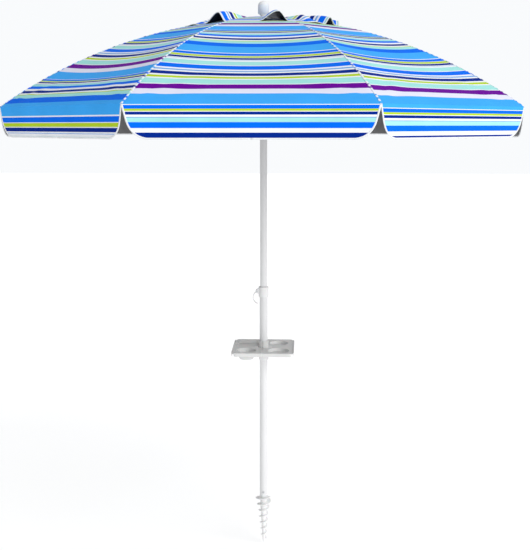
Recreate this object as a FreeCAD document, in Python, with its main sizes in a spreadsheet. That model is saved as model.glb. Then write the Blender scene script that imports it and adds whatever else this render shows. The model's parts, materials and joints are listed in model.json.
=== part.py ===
"""Beach umbrella with a sand auger, telescoping pole, snack tray and tilting vented canopy.

Frame: millimetres, origin at the auger's point, +Z up the pole, canopy ribs at 22.5 degrees and every
45 degrees after that. Every sub-part is drawn at rest: canopy open and upright, telescope at its
usual height, clamp lever locked.
"""
import FreeCAD, Part
import math
import os
import Sketcher
from FreeCAD import Placement, Rotation, Vector

RIBS = 8
HALF_GORE = 180 / RIBS
SQUEEZE = math.cos(math.radians(HALF_GORE))

DIMENSIONS = {
    # pole
    "lower_radius": 16,
    "upper_radius": 14,
    "tube_wall": 1.2,
    "lower_tube_bottom": 222,
    "lower_tube_top": 1066,
    "upper_tube_bottom": 640,
    "plug_gap": 0.05,
    # sand auger
    "auger_pitch": 27,
    "flight_top": 214,
    "flight_reach": 33,
    "flight_middle_height": 140,
    "flight_middle_reach": 20,
    "flight_tip_reach": 12,
    "core_radius": 14.5,
    "spigot_top": 284,
    "auger_screw_height": 232,
    "auger_screw_radius": 2,
    # clamp
    "collar_bottom": 1056,
    "collar_top": 1098,
    "collar_radius": 20,
    "collar_gap": 0.1,
    "lever_pivot_x": -26,
    "lever_pivot_height": 1078,
    "ear_inner": 5.3,
    "ear_outer": 9.5,
    "ear_round": 6.5,
    "cam_radius": 9.2,
    "cam_offset": 2.5,
    "clamp_pin_radius": 2,
    # tray
    "tray_side": 248,
    "tray_top": 851,
    "tray_lip": 2,
    "tray_lip_width": 4,
    "tray_skirt": 14,
    "tray_wall": 3,
    "tray_corner": 22,
    "sleeve_radius": 20.5,
    "sleeve_rise": 25,
    "slit_width": 2,
    "cup_floor": 818,
    "recess_floor": 838,
    "cup_radius": 39,
    "cup_floor_radius": 25,
    "plate_radius": 43,
    "can_radius": 38,
    "box_recess": 88,
    "recess_wall": 2.5,
    "cup_x": -66,
    "cup_y": -62,
    "plate_x": 62,
    "plate_y": -64,
    "can_x": 60,
    "can_y": 66,
    "box_x": -62,
    "box_y": 64,
    "slit_x": -3,
    "grip_x": 29,
    "grip_y": -4,
    "grip_length": 9,
    "grip_width": 13,
    "tray_collar_bottom": 796,
    "tray_collar_height": 40,
    # tilt joint
    "tilt_height": 1748,
    "tilt_range": 30,
    "fork_shoulder": 1708,
    "fork_floor": 1733,
    "cheek_round": 12,
    "tongue_round": 10.6,
    "tongue_half": 5.6,
    "cheek_inner": 5.8,
    "tongue_shoulder": 1768,
    "top_tube_bottom": 1778,
    "tilt_pin_radius": 3,
    "button_orbit": 8,
    "button_radius": 2.4,
    "plug_length": 40,
    # crown
    "crown_height": 2133,
    "crown_pin_orbit": 22,
    "ring_wire_radius": 1.25,
    "ring_bend": 5,
    "hub_radius": 27,
    "hub_bottom": 2127,
    "hub_top": 2139,
    "hub_slot": 5.2,
    "cap_thickness": 3.5,
    "screw_radius": 2.4,
    "finial_radius": 21,
    "finial_bottom": 2147,
    "finial_top": 2205,
    # runner and its catch
    "runner_drop": 300,
    "runner_pin_orbit": 24,
    "runner_bore": 16,
    "runner_wall": 3.2,
    "runner_bottom": 1812,
    "runner_top": 1848,
    "runner_plate_radius": 30,
    "runner_slot": 5,
    "catch_leaf": 0.8,
    "catch_face": 12.4,
    "catch_nose": 2.2,
    "catch_width": 5,
    # ribs and struts
    "rib_tip_orbit": 980,
    "rib_tip_height": 1800,
    "rib_bow": 70,
    "rib_rod_radius": 2.25,
    "eye_radius": 4,
    "eye_width": 4.5,
    "lug_share": 0.445,
    "lug_drop": 9,
    "lug_radius": 4.5,
    "lug_width": 3,
    "rivet_radius": 1.5,
    "strut_width": 3.6,
    "strut_depth": 6,
    "strut_boss": 3.5,
    "running_gap": 0.05,
    # fabric
    "fabric_corner": 990,
    "fabric_lift": 4,
    "fabric_thickness": 1.2,
    "sector_gap": 0.15,
    "vent_opening": 200,
    "vent_cap_radius": 310,
    "vent_cap_lift": 0.5,
    "valance_drop": 100,
}

doc = FreeCAD.newDocument("BeachUmbrella")
sheet = doc.addObject("Spreadsheet::Sheet", "dim")
for row, (alias, value) in enumerate(DIMENSIONS.items(), start=1):
    sheet.set(f"A{row}", alias)
    sheet.set(f"B{row}", str(value))
    sheet.setAlias(f"B{row}", alias)
doc.recompute()

sub_parts = []


def size(alias):
    """The number in one cell of the sheet."""
    return float(sheet.get(alias))


def keep(obj, label):
    """Names an object as a finished sub-part."""
    obj.Label = label
    sub_parts.append(obj)
    return obj


# ---------------------------------------------------------------- primitives bound to the sheet

def bind(obj, **formulas):
    """Binds an object's sizes to formulas over the sheet."""
    for prop, formula in formulas.items():
        obj.setExpression(prop, formula)
    return obj


def move(obj, x="0", y="0", z="0"):
    """Binds an object's place to formulas over the sheet."""
    for axis, formula in zip("xyz", (x, y, z)):
        obj.setExpression(f"Placement.Base.{axis}", formula)
    return obj


def cylinder(radius, bottom, top, x="0", y="0"):
    """Upright cylinder between two heights."""
    obj = doc.addObject("Part::Cylinder", "Cylinder")
    bind(obj, Radius=radius, Height=f"({top}) - ({bottom})")
    return move(obj, x, y, bottom)


def cross_cylinder(radius, half_length, x="0", z="0"):
    """Cylinder along Y, centred on the XZ plane."""
    obj = doc.addObject("Part::Cylinder", "CrossCylinder")
    bind(obj, Radius=radius, Height=f"2 * ({half_length})")
    obj.Placement = Placement(Vector(), Rotation(Vector(1, 0, 0), -90))
    return move(obj, x, f"-({half_length})", z)


def cone(bottom_radius, top_radius, bottom, top, x="0", y="0"):
    """Upright cone between two heights."""
    obj = doc.addObject("Part::Cone", "Cone")
    bind(obj, Radius1=bottom_radius, Radius2=top_radius, Height=f"({top}) - ({bottom})")
    return move(obj, x, y, bottom)


def box(length, width, bottom, top, x="0", y="0"):
    """Upright box between two heights, centred on x and y."""
    obj = doc.addObject("Part::Box", "Box")
    bind(obj, Length=length, Width=width, Height=f"({top}) - ({bottom})")
    return move(obj, f"({x}) - ({length}) / 2", f"({y}) - ({width}) / 2", bottom)


def fuse(*shapes):
    """Union of two or more objects."""
    obj = doc.addObject("Part::MultiFuse", "Fuse")
    obj.Shapes = list(shapes)
    obj.Refine = True
    return obj


def cut(base, *tools):
    """Base less one or more objects."""
    obj = doc.addObject("Part::Cut", "Cut")
    obj.Base = base
    obj.Tool = tools[0] if len(tools) == 1 else fuse(*tools)
    return obj


def tube(radius, wall, bottom, top):
    """Round tube between two heights."""
    bore = cylinder(f"{radius} - {wall}", f"{bottom} - 1", f"{top} + 1")
    return cut(cylinder(radius, bottom, top), bore)


def feature(label, shape, turn=0):
    """A sub-part whose shape is made here, turned about the pole."""
    obj = doc.addObject("Part::Feature", label)
    obj.Shape = shape
    obj.Placement = Placement(Vector(), Rotation(Vector(0, 0, 1), turn)).multiply(shape.Placement)
    return keep(obj, label)


# ---------------------------------------------------------------- PartDesign helpers

def plane(body, role):
    """One of a body's own origin planes."""
    return next(o for o in body.Origin.OriginFeatures if o.Role == role)


def outline(body, role, name, corners):
    """Closed sketch of straight lines whose corners are formulas over the sheet."""
    sketch = body.newObject("Sketcher::SketchObject", name)
    sketch.AttachmentSupport = [(plane(body, role), "")]
    sketch.MapMode = "FlatFace"
    spots = [Vector(*(float(sheet.evalExpression(f)) for f in corner), 0) for corner in corners]
    for first, second in zip(spots, spots[1:] + spots[:1]):
        sketch.addGeometry(Part.LineSegment(first, second), False)
    for line in range(len(spots)):
        following = (line + 1) % len(spots)
        sketch.addConstraint(Sketcher.Constraint("Coincident", line, 2, following, 1))
    for line, (corner, spot) in enumerate(zip(corners, spots)):
        for kind, formula, number, axis in zip(("DistanceX", "DistanceY"), corner, spot, (-2, -1)):
            if abs(number) < 1e-9:
                sketch.addConstraint(Sketcher.Constraint("PointOnObject", line, 1, axis))
                continue
            index = sketch.addConstraint(Sketcher.Constraint(kind, -1, 1, line, 1, number))
            sketch.setExpression(f"Constraints[{index}]", formula)
    return sketch


def turned(name, corners):
    """Body of revolution about the pole from an outline of (radius, height) corners."""
    body = doc.addObject("PartDesign::Body", name)
    sketch = outline(body, "XZ_Plane", name + "Profile", corners)
    spin = body.newObject("PartDesign::Revolution", name + "Turned")
    spin.Profile = sketch
    spin.ReferenceAxis = (sketch, ["V_Axis"])
    spin.Angle = 360
    body.Tip = spin
    return body


def radial_slots(body, name, inner, outer, width):
    """Cuts one slot through a body for each rib."""
    half = f"({width}) / 2"
    corners = [(inner, f"-({half})"), (outer, f"-({half})"), (outer, half), (inner, half)]
    sketch = outline(body, "XY_Plane", name + "Slot", corners)
    pocket = body.newObject("PartDesign::Pocket", name + "Pocket")
    pocket.Profile = sketch
    pocket.Type = "ThroughAll"
    pocket.Midplane = True
    pattern = body.newObject("PartDesign::PolarPattern", name + "Slots")
    pattern.Originals = [pocket]
    pattern.Axis = (sketch, ["N_Axis"])
    pattern.Angle = 360
    pattern.Occurrences = RIBS
    body.Tip = pattern
    body.Placement = Placement(Vector(), Rotation(Vector(0, 0, 1), HALF_GORE))
    return body


# ---------------------------------------------------------------- the rib's bow, in its own plane

def rib_circle():
    """Centre, radius and end angles of the arc that a rib follows, in the (radius, height) plane."""
    start = Vector(size("crown_pin_orbit"), 0, size("crown_height"))
    end = Vector(size("rib_tip_orbit"), 0, size("rib_tip_height"))
    chord = end - start
    bow = size("rib_bow")
    radius = (chord.Length ** 2 / 4 + bow ** 2) / (2 * bow)
    outward = Vector(-chord.z, 0, chord.x).normalize()
    centre = (start + end) * 0.5 - outward * (radius - bow)
    first, last = (math.atan2((p - centre).z, (p - centre).x) for p in (start, end))
    return centre, radius, first, last


BOW_CENTRE, BOW_RADIUS, BOW_START, BOW_END = rib_circle()


def on_bow(share, lift=0.0):
    """Point on the rib's line at a share of its length, lifted square to it."""
    angle = BOW_START + (BOW_END - BOW_START) * share
    reach = BOW_RADIUS + lift
    return BOW_CENTRE + Vector(math.cos(angle), 0, math.sin(angle)) * reach


def bow_share(orbit):
    """Share of the rib's length at which it reaches a distance from the pole."""
    angle = math.acos((orbit - BOW_CENTRE.x) / BOW_RADIUS)
    return (angle - BOW_START) / (BOW_END - BOW_START)


def pin_across(radius, centre, half_length):
    """Cylinder along Y through a point of the rib's plane."""
    return Part.makeCylinder(radius, 2 * half_length, centre - Vector(0, half_length, 0), Vector(0, 1, 0))


# ---------------------------------------------------------------- pole

def lower_pole():
    blank = tube("dim.lower_radius", "dim.tube_wall", "dim.lower_tube_bottom", "dim.lower_tube_top")
    hole = cylinder("dim.auger_screw_radius + dim.plug_gap", "0", "dim.lower_radius + 4")
    hole.Placement = Placement(Vector(), Rotation(Vector(1, 0, 0), 90))
    move(hole, z="dim.auger_screw_height")
    keep(cut(blank, hole), "lower_tube")


def upper_pole():
    tube_top = "dim.fork_shoulder"
    keep(tube("dim.upper_radius", "dim.tube_wall", "dim.upper_tube_bottom", tube_top), "upper_tube")
    spigot = "dim.upper_radius - dim.tube_wall - dim.plug_gap"
    flange = "dim.lower_radius - dim.tube_wall - dim.collar_gap"
    bottom = "dim.upper_tube_bottom"
    keep(turned("UpperTubePlug", [
        ("0", f"{bottom} - 5"), (f"{flange} - 1", f"{bottom} - 5"), (flange, f"{bottom} - 4"),
        (flange, bottom), (spigot, bottom), (spigot, f"{bottom} + 24"),
        (f"{spigot} - 2", f"{bottom} + 26"), ("0", f"{bottom} + 26"),
    ]), "upper_tube_plug")


def between(points, height):
    """Radius at a height, in a straight line between (height, radius) points."""
    for (low, first), (high, last) in zip(points, points[1:]):
        if low <= height <= high:
            return first + (last - first) * (height - low) / (high - low)
    raise ValueError(f"no radius at height {height}")


def flight_turn(first, last, root, edge, halves):
    """One turn of the screw's flight, between a curve inside the core and a curve at its edge."""
    pitch, steps = size("auger_pitch"), 16

    def helix(radius, shift):
        spots = []
        for step in range(steps + 1):
            height = first + (last - first) * step / steps
            angle = 2 * math.pi * height / pitch
            spots.append(Vector(radius(height) * math.cos(angle), radius(height) * math.sin(angle),
                                height + shift))
        curve = Part.BSplineCurve()
        curve.interpolate(spots)
        return curve.toShape()

    thick, thin = halves
    rails = [helix(root, -thick), helix(edge, -thin), helix(edge, thin), helix(root, thick)]
    faces = []
    for rail, following in zip(rails, rails[1:] + rails[:1]):
        faces += Part.makeRuledSurface(rail, following).Faces
    for end in (0, -1):
        corners = [rail.Vertexes[end].Point for rail in rails]
        faces.append(Part.Face(Part.makePolygon(corners + corners[:1])))
    shell = Part.makeShell(faces)
    shell.sewShape()
    return Part.Solid(shell)


def auger():
    """Moulded screw point: a flight that widens upwards on a core that tapers to the tip."""
    pitch, top, tube_bottom = size("auger_pitch"), size("flight_top"), size("lower_tube_bottom")
    radius, spigot_top = size("lower_radius"), size("spigot_top")
    spigot = radius - size("tube_wall") - size("plug_gap")
    core = [(0, 0), (22, 5), (90, 0.62 * size("core_radius")), (top - 20, size("core_radius")),
            (tube_bottom - 6, radius), (tube_bottom, radius)]
    envelope = [(0, size("flight_tip_reach") / 2), (20, size("flight_tip_reach")),
                (size("flight_middle_height"), size("flight_middle_reach")),
                (top - 14, size("flight_reach")), (tube_bottom, size("flight_reach"))]
    outline_points = [Vector(reach, 0, height) for height, reach in core]
    outline_points += [Vector(spigot, 0, tube_bottom), Vector(spigot, 0, spigot_top),
                       Vector(0, 0, spigot_top), Vector(0, 0, 0)]
    body = Part.Face(Part.makePolygon(outline_points)).revolve(Vector(), Vector(0, 0, 1), 360)
    turns = int(top / pitch)
    flights = []
    for turn in range(turns):
        last = top - turn * pitch
        flights.append(flight_turn(last - pitch, last, lambda z: max(between(core, z) - 2.5, 1.2),
                                   lambda z: between(envelope, z), (2.6, 0.9)))
    pilot = Part.makeCylinder(size("auger_screw_radius") + size("plug_gap"), 14,
                              Vector(0, -5, size("auger_screw_height")), Vector(0, -1, 0))
    feature("sand_auger", body.multiFuse(flights).cut(pilot))


def auger_screw():
    face, height = size("lower_radius"), size("auger_screw_height")
    radius = size("auger_screw_radius")
    shank = Part.makeCylinder(radius, face - 5.5, Vector(0, -6, height), Vector(0, -1, 0))
    head = Part.makeCylinder(2.1 * radius, 2, Vector(0, -face, height), Vector(0, -1, 0))
    head = head.makeChamfer(0.7, [e for e in head.Edges if e.BoundBox.YMax < -face - 1.9])
    feature("auger_screw", shank.fuse(head).removeSplitter())


# ---------------------------------------------------------------- telescope clamp

def clamp_collar():
    shell = turned("ClampShell", [
        ("dim.lower_radius + dim.collar_gap / 2", "dim.collar_bottom"),
        ("dim.collar_radius - 1", "dim.collar_bottom"),
        ("dim.collar_radius", "dim.collar_bottom + 1"),
        ("dim.collar_radius", "dim.collar_top - 3"),
        ("dim.collar_radius - 3", "dim.collar_top"),
        ("dim.upper_radius + dim.collar_gap", "dim.collar_top"),
        ("dim.upper_radius + dim.collar_gap", "dim.lower_tube_top + 0.3"),
        ("dim.lower_radius + dim.collar_gap / 2", "dim.lower_tube_top + 0.3"),
    ])
    pivot_x, pivot_z = size("lever_pivot_x"), size("lever_pivot_height")
    bottom, top = size("collar_bottom"), size("collar_top")
    round_ear = size("ear_round")
    cheek = Part.Face(Part.makePolygon([
        Vector(-14.6, 0, bottom + 4), Vector(pivot_x, 0, pivot_z - round_ear),
        Vector(pivot_x - round_ear, 0, pivot_z), Vector(pivot_x - 2, 0, pivot_z + round_ear),
        Vector(-14.6, 0, top - 2), Vector(-14.6, 0, bottom + 4),
    ]))
    ears = []
    for side in (-1, 1):
        inner, outer = side * size("ear_inner"), side * size("ear_outer")
        plate = cheek.translated(Vector(0, inner, 0)).extrude(Vector(0, outer - inner, 0))
        rounding = Part.makeCylinder(round_ear, size("ear_outer") - size("ear_inner"),
                                     Vector(pivot_x, min(inner, outer), pivot_z), Vector(0, 1, 0))
        ears.append(plate.fuse(rounding))
    doc.recompute()
    bore = Part.makeCylinder(size("upper_radius") + size("collar_gap"), 2 * top)
    window = Part.makeBox(30, 2 * size("ear_inner"), 22, Vector(-40, -size("ear_inner"), pivot_z - 11))
    pin_hole = pin_across(size("clamp_pin_radius"), Vector(pivot_x, 0, pivot_z), 12)
    lower_bore = Part.makeCylinder(size("lower_radius") + size("collar_gap") / 2,
                                   size("lower_tube_top") + 0.3)
    solid = shell.Shape.fuse(ears).cut([bore, lower_bore, window, pin_hole]).removeSplitter()
    feature("clamp_collar", solid)


def clamp_lever():
    """Cam between the ears and a bowed handle that hangs beside the lower tube."""
    pivot = Vector(size("lever_pivot_x"), 0, size("lever_pivot_height"))
    half = size("ear_inner") - 0.3
    cam_centre = pivot + Vector(size("cam_offset"), 0, 0)
    cam = pin_across(size("cam_radius"), cam_centre, half)

    def spot(x, z):
        return pivot + Vector(x, 0, z)

    edges = [
        Part.Arc(spot(-8.5, -3), spot(-18, -27), spot(1, -52)).toShape(),
        Part.LineSegment(spot(1, -52), spot(3, -49)).toShape(),
        Part.Arc(spot(3, -49), spot(-14.4, -27), spot(-3, -6)).toShape(),
        Part.LineSegment(spot(-3, -6), spot(-8.5, -3)).toShape(),
    ]
    handle = Part.Face(Part.Wire(edges)).translated(Vector(0, -half, 0)).extrude(Vector(0, 2 * half, 0))
    bore = pin_across(size("clamp_pin_radius") + size("running_gap"), pivot, half + 1)
    feature("clamp_lever", cam.fuse(handle).cut(bore).removeSplitter())


def clamp_pin():
    x, z = "dim.lever_pivot_x", "dim.lever_pivot_height"
    shank = cross_cylinder("dim.clamp_pin_radius", "dim.ear_outer + 1.4", x, z)
    heads = cut(cross_cylinder("dim.clamp_pin_radius + 1.4", "dim.ear_outer + 1.4", x, z),
                cross_cylinder("dim.clamp_pin_radius + 2", "dim.ear_outer", x, z))
    keep(fuse(shank, heads), "clamp_pin")


# ---------------------------------------------------------------- tray

def tray():
    """Square moulding with four recesses, slit at the front so that it springs onto the pole."""
    side, wall, top = "dim.tray_side", "dim.tray_wall", "dim.tray_top"
    deck = f"{top} - dim.tray_lip"
    block = box(side, side, f"{top} - dim.tray_skirt", top)
    rounded = doc.addObject("Part::Fillet", "TrayCorners")
    rounded.Base = block
    doc.recompute()
    upright = [i for i, e in enumerate(block.Shape.Edges, start=1) if e.BoundBox.ZLength > 5]
    rounded.Edges = [(i, size("tray_corner"), size("tray_corner")) for i in upright]
    inset = f"{side} - 2 * dim.tray_lip_width"
    dish = box(inset, inset, deck, f"{top} + 1")
    under = f"{side} - 2 * {wall}"
    hollow = box(under, under, f"{top} - dim.tray_skirt - 1", f"{deck} - {wall}")
    shell = cut(rounded, dish, hollow)
    recesses = (
        (cone, ("dim.cup_floor_radius", "dim.cup_radius"), "dim.cup_floor", "cup"),
        (cone, ("dim.plate_radius - 5", "dim.plate_radius"), "dim.recess_floor", "plate"),
        (cone, ("dim.can_radius - 4", "dim.can_radius"), "dim.recess_floor", "can"),
        (box, ("dim.box_recess", "dim.box_recess"), "dim.recess_floor", "box"),
    )
    cups, wells = [], []
    for maker, (first, second), floor, name in recesses:
        place = f"dim.{name}_x", f"dim.{name}_y"
        grown = "2 * dim.recess_wall" if maker is box else "dim.recess_wall"
        cups.append(maker(f"{first} + {grown}", f"{second} + {grown}",
                          f"{floor} - dim.recess_wall", f"{deck} - 0.5", *place))
        wells.append(maker(first, second, floor, deck, *place))
        mouth = second if maker is cone else first
        wells.append(maker(mouth, second, f"{deck} - 0.01", f"{top} + 1", *place))
    sleeve = cylinder("dim.sleeve_radius", f"{top} - dim.tray_skirt", f"{top} + dim.sleeve_rise")
    bore = cylinder("dim.lower_radius + dim.collar_gap", "0", "dim.collar_bottom")
    slit = box("dim.slit_width", f"{side} / 2", "dim.cup_floor", "dim.collar_bottom", "dim.slit_x",
               f"-{side} / 2 + {side} / 4 - 14")
    grips = [box("dim.grip_length", "dim.grip_width", "dim.cup_floor", f"{top} + 1", x, "dim.grip_y")
             for x in ("-dim.grip_x", "dim.grip_x")]
    solid = cut(fuse(shell, sleeve, *cups), bore, slit, *wells, *grips)
    keep(solid, "tray")


def tray_collar():
    inner, outer = "dim.lower_radius + dim.collar_gap", "dim.sleeve_radius - 1"
    bottom = "dim.tray_collar_bottom"
    top = f"{bottom} + dim.tray_collar_height"
    keep(turned("TrayCollar", [
        (inner, bottom), (f"{outer} - 1.5", bottom), (outer, f"{bottom} + 1.5"),
        (outer, f"{top} - 1"), (f"{outer} - 1", top), (inner, top),
    ]), "tray_collar")


# ---------------------------------------------------------------- tilt joint

def tilt_fork():
    """Plug in the upper tube with two cheeks; the front cheek has an arc slot for the button."""
    radius, pivot = size("upper_radius"), size("tilt_height")
    shoulder, floor = size("fork_shoulder"), size("fork_floor")
    plug = Part.makeCylinder(radius - size("tube_wall") - size("plug_gap"), size("plug_length"),
                             Vector(0, 0, shoulder - size("plug_length")))
    stem = Part.makeCylinder(radius, pivot - shoulder + size("cheek_round"), Vector(0, 0, shoulder))
    rounding = pin_across(size("cheek_round"), Vector(0, 0, pivot), radius)
    below = Part.makeBox(4 * radius, 2 * radius, pivot - shoulder, Vector(-2 * radius, -radius, shoulder))
    mouth = Part.makeBox(4 * radius, 2 * size("cheek_inner"), 60,
                         Vector(-2 * radius, -size("cheek_inner"), floor))
    body = plug.fuse(stem.common(rounding.fuse(below))).cut(mouth)
    pin = pin_across(size("tilt_pin_radius"), Vector(0, 0, pivot), radius + 1)
    orbit, reach = size("button_orbit"), size("button_radius") + 0.4

    def spot(distance, turn, along=0.0):
        """Point under the pivot, turned about it and then moved along its circle."""
        angle = math.radians(turn)
        return Vector(distance * math.sin(angle) + along * math.cos(angle), 0,
                      along * math.sin(angle) - distance * math.cos(angle))

    near, far, last = orbit - reach, orbit + reach, size("tilt_range")
    edges = [
        Part.Arc(spot(far, 0), spot(far, last / 2), spot(far, last)).toShape(),
        Part.Arc(spot(far, last), spot(orbit, last, reach), spot(near, last)).toShape(),
        Part.Arc(spot(near, last), spot(near, last / 2), spot(near, 0)).toShape(),
        Part.Arc(spot(near, 0), spot(orbit, 0, -reach), spot(far, 0)).toShape(),
    ]
    slot = Part.Face(Part.Wire(edges)).extrude(Vector(0, radius, 0))
    slot.translate(Vector(0, -radius - 1, pivot))
    feature("tilt_fork", body.cut([pin, slot]).removeSplitter())


def tilt_tongue():
    """Plug in the top tube with a flat tongue that turns between the fork's cheeks."""
    radius, pivot, half = size("upper_radius"), size("tilt_height"), size("tongue_half")
    shoulder, seat = size("tongue_shoulder"), size("top_tube_bottom")
    head = Part.makeCylinder(radius, seat - shoulder, Vector(0, 0, shoulder))
    plug = Part.makeCylinder(radius - size("tube_wall") - size("plug_gap"), 20, Vector(0, 0, seat))
    reach = size("tongue_round")
    tongue = pin_across(reach, Vector(0, 0, pivot), half)
    neck = Part.makeBox(2 * reach, 2 * half, shoulder - pivot, Vector(-reach, -half, pivot))
    pin = pin_across(size("tilt_pin_radius") + size("running_gap"), Vector(0, 0, pivot), radius)
    seat_hole = Part.makeCylinder(size("button_radius") + 0.1, 2 * half,
                                  Vector(0, -half - 1, pivot - size("button_orbit")), Vector(0, 1, 0))
    feature("tilt_tongue", head.fuse([plug, tongue, neck]).cut([pin, seat_hole]).removeSplitter())


def tilt_pin():
    pin = pin_across(size("tilt_pin_radius"), Vector(0, 0, size("tilt_height")), size("upper_radius") - 0.6)
    feature("tilt_pin", pin)


def tilt_button():
    height = size("tilt_height") - size("button_orbit")
    face = size("upper_radius") + 0.9
    button = Part.makeCylinder(size("button_radius"), face, Vector(0, -face, height), Vector(0, 1, 0))
    button = button.makeFillet(1, [e for e in button.Edges if e.BoundBox.YMax < -face + 0.1])
    feature("tilt_button", button)


# ---------------------------------------------------------------- head of the pole

def top_tube():
    whole = tube("dim.upper_radius", "dim.tube_wall", "dim.top_tube_bottom", "dim.hub_bottom")
    window = box("10", "6", "dim.runner_bottom - 13", "dim.runner_bottom + 0.2", "dim.upper_radius")
    keep(cut(whole, window), "top_tube")


def crown_hub():
    """Hub with one slot for each rib's eye and a groove for the wire ring."""
    spigot = "dim.upper_radius - dim.tube_wall - dim.plug_gap"
    hole = "dim.screw_radius + 0.1"
    groove_floor = "dim.crown_height - dim.ring_wire_radius - 0.15"
    groove_in, groove_out = "dim.crown_pin_orbit - 2", "dim.crown_pin_orbit + 3.4"
    body = turned("CrownHub", [
        (hole, "dim.hub_bottom - 26"), (spigot, "dim.hub_bottom - 26"), (spigot, "dim.hub_bottom"),
        ("dim.hub_radius - 1", "dim.hub_bottom"), ("dim.hub_radius", "dim.hub_bottom + 1"),
        ("dim.hub_radius", "dim.hub_top"), (groove_out, "dim.hub_top"), (groove_out, groove_floor),
        (groove_in, groove_floor), (groove_in, "dim.hub_top"), (hole, "dim.hub_top"),
    ])
    radial_slots(body, "CrownHub", "dim.crown_pin_orbit - 4.8", "dim.hub_radius + 5", "dim.hub_slot")
    keep(body, "crown_hub")


def crown_ring():
    """Wire bent to an octagon with rounded corners, straight where it passes through each rib's eye."""
    orbit, wire, bend = size("crown_pin_orbit"), size("ring_wire_radius"), size("ring_bend")
    corner_reach = orbit / SQUEEZE
    corners = []
    for turn in range(RIBS):
        angle = math.radians(2 * HALF_GORE * turn)
        corners.append(Vector(corner_reach * math.cos(angle), corner_reach * math.sin(angle), 0))
    setback = bend * math.tan(math.radians(HALF_GORE))
    edges = []
    for turn, corner in enumerate(corners):
        before = (corners[turn - 1] - corner).normalize()
        after = (corners[(turn + 1) % RIBS] - corner).normalize()
        inward = corner * (-1 / corner.Length)
        depth = bend / SQUEEZE - bend
        edges.append(Part.Arc(corner + before * setback, corner + inward * depth,
                              corner + after * setback).toShape())
        following = corners[(turn + 1) % RIBS] - after * setback
        edges.append(Part.LineSegment(corner + after * setback, following).toShape())
    start = edges[-1].Vertexes[0].Point
    direction = edges[-1].tangentAt(edges[-1].FirstParameter)
    path = Part.Wire([edges[-1]] + edges[:-1])
    circle = Part.Wire(Part.makeCircle(wire, start, direction))
    ring = path.makePipeShell([circle], True, False, 2)
    feature("crown_ring", ring.translated(Vector(0, 0, size("crown_height"))))


def crown_cap():
    top = "dim.hub_top + dim.cap_thickness"
    hole = "dim.screw_radius + 0.1"
    keep(turned("CrownCap", [
        (hole, "dim.hub_top"), ("dim.hub_radius", "dim.hub_top"), ("dim.hub_radius", f"{top} - 1.2"),
        ("dim.hub_radius - 1.5", top), (hole, top),
    ]), "crown_cap")


def finial():
    """Washer, domed cap and the screw that clamps them and the vent cap's cloth to the hub."""
    base, top, reach = "dim.finial_bottom", "dim.finial_top", "dim.finial_radius"
    hole = "dim.screw_radius + 0.1"
    keep(turned("VentWasher", [
        (hole, f"{base} - 2.6"), (f"{reach} - 3", f"{base} - 2.6"), (f"{reach} - 3", f"{base} - 1.6"),
        (f"{reach} - 4", base), (hole, base),
    ]), "vent_washer")
    profile = turned("Finial", [
        (hole, base), (f"{reach} - 5", base), (f"{reach} - 5", f"{base} + 5"),
        (reach, f"{base} + 8"), (reach, f"{top} - 16"), (f"{reach} - 2.2", f"{top} - 8"),
        (f"{reach} - 7.5", f"{top} - 2"), (f"{reach} - 12", top), ("0", top),
        ("0", f"{base} + 30"), (hole, f"{base} + 30"),
    ])
    keep(profile, "finial")
    screw_bottom = "dim.hub_bottom - 26.1"
    shank = cylinder("dim.screw_radius", screw_bottom, f"{base} + 28")
    head = cylinder("dim.screw_radius + 2.2", f"{screw_bottom} - 4", screw_bottom)
    keep(fuse(shank, head), "finial_screw")


# ---------------------------------------------------------------- runner

def runner():
    """Sliding hub; each strut's cross pin sits under the toothed plate, beside the sleeve."""
    bore, wall = "dim.runner_bore", "dim.runner_wall"
    bottom, top, pins = "dim.runner_bottom", "dim.runner_top", "dim.crown_height - dim.runner_drop"
    outside = f"{bore} + {wall}"
    body = turned("Runner", [
        (bore, bottom), (f"{outside} + 2", bottom), (f"{outside} + 2", f"{bottom} + 3"),
        (outside, f"{bottom} + 4"), (outside, f"{pins} + 3"),
        ("dim.runner_plate_radius", f"{pins} + 3"), ("dim.runner_plate_radius", f"{pins} + 8"),
        (f"{outside} + 1.5", f"{pins} + 9"), (outside, top), (bore, top),
    ])
    radial_slots(body, "Runner", "dim.runner_pin_orbit - 4", "dim.runner_plate_radius + 5",
                 "dim.runner_slot")
    keep(body, "runner")


def runner_catch():
    """Leaf spring inside the top tube whose nose comes out under the runner."""
    ledge, leaf = size("runner_bottom") - 0.4, size("catch_leaf")
    face, width = size("catch_face"), size("catch_width")
    nose = size("runner_bore") + size("catch_nose")
    profile = [
        (face, ledge + 30), (face, ledge), (nose, ledge), (nose, ledge - leaf), (face, ledge - 10),
        (face - leaf, ledge - 10), (nose - 1.4, ledge - leaf), (face - leaf, ledge - leaf),
        (face - leaf, ledge + 30), (face, ledge + 30),
    ]
    leaf_face = Part.Face(Part.makePolygon([Vector(x, -width / 2, z) for x, z in profile]))
    feature("runner_catch", leaf_face.extrude(Vector(0, width, 0)))


# ---------------------------------------------------------------- ribs and struts

LUG = on_bow(size("lug_share"), -size("lug_drop"))
RUNNER_PIN = Vector(size("runner_pin_orbit"), 0, size("crown_height") - size("runner_drop"))


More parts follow.
